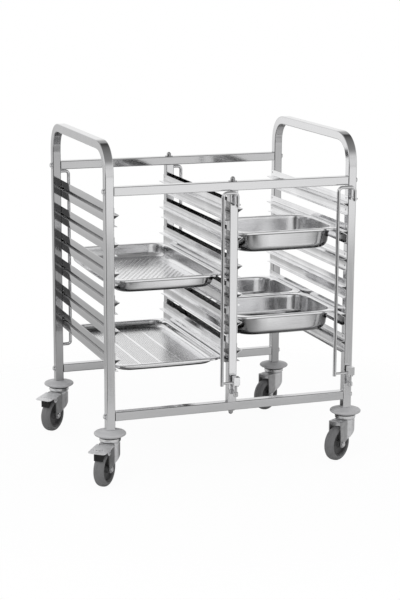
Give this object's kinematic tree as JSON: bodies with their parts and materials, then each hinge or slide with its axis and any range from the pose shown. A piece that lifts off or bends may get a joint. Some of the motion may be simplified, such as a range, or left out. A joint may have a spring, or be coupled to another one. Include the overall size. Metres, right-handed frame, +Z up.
{
  "type": "tray trolley",
  "caption": "Stainless steel trolley on swivel castors with columns of slide-in runners for catering trays and pans, push handles at both ends and a swinging front latch on each column.",
  "frame": {"origin": "on the floor below the middle of the frame", "axes": "+X to the right and -Y to the front as seen from the loading side, +Z up"},
  "size_m": [0.8457, 0.6907, 0.949],
  "materials": {
    "bright_steel": "polished stainless steel",
    "runner_steel": "bright rolled stainless sheet",
    "pan_steel": "satin drawn stainless sheet",
    "zinc": "bright zinc plate",
    "bumper_rubber": "matte grey",
    "wheel_plastic": "matte dark grey",
    "tyre_rubber": "matte grey",
    "shoe_rubber": "matte black"
  },
  "bodies": {
    "frame": {"end_hoop_left": "bright_steel", "end_hoop_right": "bright_steel", "front_top_rail": "bright_steel", "front_bottom_rail": "bright_steel", "rear_top_rail": "bright_steel", "rear_bottom_rail": "bright_steel", "front_centre_post": "bright_steel", "rear_centre_post": "bright_steel", "rail_bolts": "bright_steel", "post_bolts": "bright_steel", "left_rear_stop": "bright_steel", "right_rear_stop": "bright_steel", "latch_nuts": "bright_steel", "left_latch_pin": "bright_steel", "left_latch_tabs": "bright_steel", "right_latch_pin": "bright_steel", "right_latch_tabs": "bright_steel", "left_runners": "runner_steel", "centre_left_runners": "runner_steel", "centre_right_runners": "runner_steel", "right_runners": "runner_steel", "castor_stems": "zinc", "swivel_cups": "zinc", "tube_plugs": "zinc", "castor_bumpers": "bumper_rubber"},
    "front_left_swivel": {"front_left_fork": "zinc", "front_left_axle": "zinc", "front_left_brake_pin": "zinc"},
    "front_left_wheel": {"front_left_wheel_core": "wheel_plastic", "front_left_tyre": "tyre_rubber"},
    "front_left_brake": {"front_left_brake_pedal": "zinc", "front_left_brake_shoe": "shoe_rubber"},
    "rear_left_swivel": {"rear_left_fork": "zinc", "rear_left_axle": "zinc", "rear_left_brake_pin": "zinc"},
    "rear_left_wheel": {"rear_left_wheel_core": "wheel_plastic", "rear_left_tyre": "tyre_rubber"},
    "rear_left_brake": {"rear_left_brake_pedal": "zinc", "rear_left_brake_shoe": "shoe_rubber"},
    "front_right_swivel": {"front_right_fork": "zinc", "front_right_axle": "zinc"},
    "front_right_wheel": {"front_right_wheel_core": "wheel_plastic", "front_right_tyre": "tyre_rubber"},
    "rear_right_swivel": {"rear_right_fork": "zinc", "rear_right_axle": "zinc"},
    "rear_right_wheel": {"rear_right_wheel_core": "wheel_plastic", "rear_right_tyre": "tyre_rubber"},
    "left_latch": {"left_latch_bar": "bright_steel", "left_latch_arm": "bright_steel", "left_latch_block": "bright_steel"},
    "right_latch": {"right_latch_bar": "bright_steel", "right_latch_arm": "bright_steel", "right_latch_block": "bright_steel"},
    "deep_tray_body": {"deep_tray": "pan_steel"},
    "flat_tray_body": {"flat_tray": "pan_steel"},
    "upper_pan_body": {"upper_pan": "pan_steel"},
    "lower_front_pan_body": {"lower_front_pan": "pan_steel"},
    "lower_rear_pan_body": {"lower_rear_pan": "pan_steel"}
  },
  "joints": [
    {"name": "front_left_swivel_turn", "type": "hinge", "parent": "frame", "child": "front_left_swivel", "pos_m": [-0.3575, -0.2775, 0.1162], "axis": [0, 0, 1], "continuous": true},
    {"name": "front_left_wheel_turn", "type": "hinge", "parent": "front_left_swivel", "child": "front_left_wheel", "pos_m": [-0.38393, -0.31014, 0.05], "axis": [0.7771, -0.6293, 0], "continuous": true},
    {"name": "front_left_brake_tip", "type": "hinge", "parent": "front_left_swivel", "child": "front_left_brake", "pos_m": [-0.39526, -0.32413, 0.103], "axis": [0.7771, -0.6293, 0], "range_deg": [0, 5]},
    {"name": "rear_left_swivel_turn", "type": "hinge", "parent": "frame", "child": "rear_left_swivel", "pos_m": [-0.3575, 0.2775, 0.1162], "axis": [0, 0, 1], "continuous": true},
    {"name": "rear_left_wheel_turn", "type": "hinge", "parent": "rear_left_swivel", "child": "rear_left_wheel", "pos_m": [-0.3872, 0.2478, 0.05], "axis": [0.7071, -0.7071, 0], "continuous": true},
    {"name": "rear_left_brake_tip", "type": "hinge", "parent": "rear_left_swivel", "child": "rear_left_brake", "pos_m": [-0.39993, 0.23507, 0.103], "axis": [0.7071, -0.7071, 0], "range_deg": [0, 5]},
    {"name": "front_right_swivel_turn", "type": "hinge", "parent": "frame", "child": "front_right_swivel", "pos_m": [0.3575, -0.2775, 0.1162], "axis": [0, 0, 1], "continuous": true},
    {"name": "front_right_wheel_turn", "type": "hinge", "parent": "front_right_swivel", "child": "front_right_wheel", "pos_m": [0.32228, -0.30037, 0.05], "axis": [0.5446, -0.8387, 0], "continuous": true},
    {"name": "rear_right_swivel_turn", "type": "hinge", "parent": "frame", "child": "rear_right_swivel", "pos_m": [0.3575, 0.2775, 0.1162], "axis": [0, 0, 1], "continuous": true},
    {"name": "rear_right_wheel_turn", "type": "hinge", "parent": "rear_right_swivel", "child": "rear_right_wheel", "pos_m": [0.32188, 0.25524, 0.05], "axis": [0.5299, -0.848, 0], "continuous": true},
    {"name": "left_latch_swing", "type": "hinge", "parent": "frame", "child": "left_latch", "pos_m": [0.004, -0.306, 0.266], "axis": [0, 0, 1], "range_deg": [0, 180]},
    {"name": "right_latch_swing", "type": "hinge", "parent": "frame", "child": "right_latch", "pos_m": [0.3575, -0.306, 0.266], "axis": [0, 0, 1], "range_deg": [0, 180]},
    {"name": "deep_tray_slide", "type": "slide", "parent": "frame", "child": "deep_tray_body", "axis": [0, -1, 0], "range_m": [-0.006, 0.0365]},
    {"name": "flat_tray_slide", "type": "slide", "parent": "frame", "child": "flat_tray_body", "axis": [0, -1, 0], "range_m": [-0.006, 0.0365]},
    {"name": "upper_pan_slide", "type": "slide", "parent": "frame", "child": "upper_pan_body", "axis": [0, -1, 0], "range_m": [-0.27, 0.0365]},
    {"name": "lower_front_pan_slide", "type": "slide", "parent": "frame", "child": "lower_front_pan_body", "axis": [0, -1, 0], "range_m": [-0.0025, 0.0365]},
    {"name": "lower_rear_pan_slide", "type": "slide", "parent": "frame", "child": "lower_rear_pan_body", "axis": [0, -1, 0], "range_m": [-0.003, 0.0025]}
  ]
}
